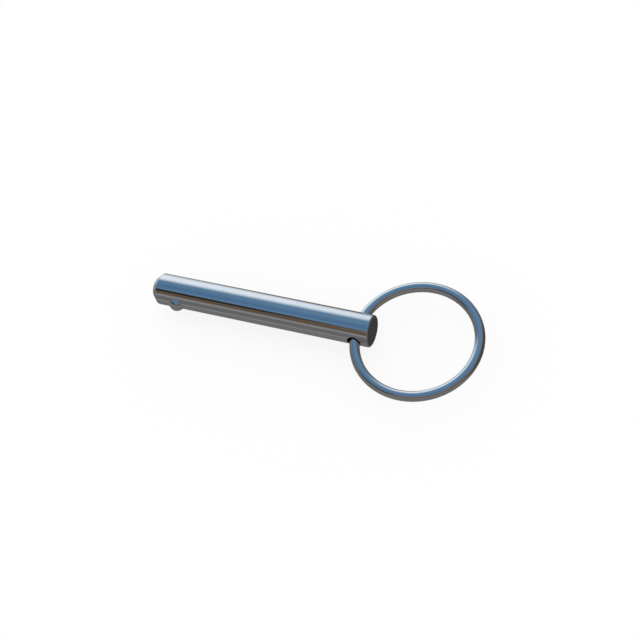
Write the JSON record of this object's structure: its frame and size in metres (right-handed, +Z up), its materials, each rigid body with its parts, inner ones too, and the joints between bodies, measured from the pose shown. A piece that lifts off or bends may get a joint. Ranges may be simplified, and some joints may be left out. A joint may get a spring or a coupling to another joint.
{
  "type": "ball lock pin",
  "caption": "Quick-release pin: a straight round shank with a sprung detent ball near its chamfered nose and a wire pull ring through its other end.",
  "frame": {"origin": "centre of the shank's flat ring-end face, on the shank's axis", "axes": "+X along the shank's axis, out of the ring end, so the nose points to -X; the cross-hole and the ball's pocket lie along Y, with the ball at -Y; +Z up as the pin lies on its side"},
  "size_m": [0.0686, 0.0258, 0.0064],
  "materials": {
    "shank_steel": "bright ground and polished stainless steel",
    "ring_wire": "bright polished stainless wire",
    "ball_steel": "mirror-polished hardened steel",
    "spring_wire": "drawn stainless spring wire"
  },
  "bodies": {
    "shank": {"shank": "shank_steel", "ball_spring": "spring_wire"},
    "ring": {"pull_ring": "ring_wire"},
    "ball": {"detent_ball": "ball_steel"}
  },
  "joints": [
    {"name": "ring_swing", "type": "hinge", "parent": "shank", "child": "ring", "pos_m": [-0.00285, 0, 0], "axis": [0, -1, 0], "range_deg": [-169.7, 169.7]},
    {"name": "ball_press", "type": "slide", "parent": "shank", "child": "ball", "axis": [0, 1, 0], "range_m": [0, 0.001], "stiffness_N_per_m": 1680, "deforming": ["ball_spring"]}
  ]
}
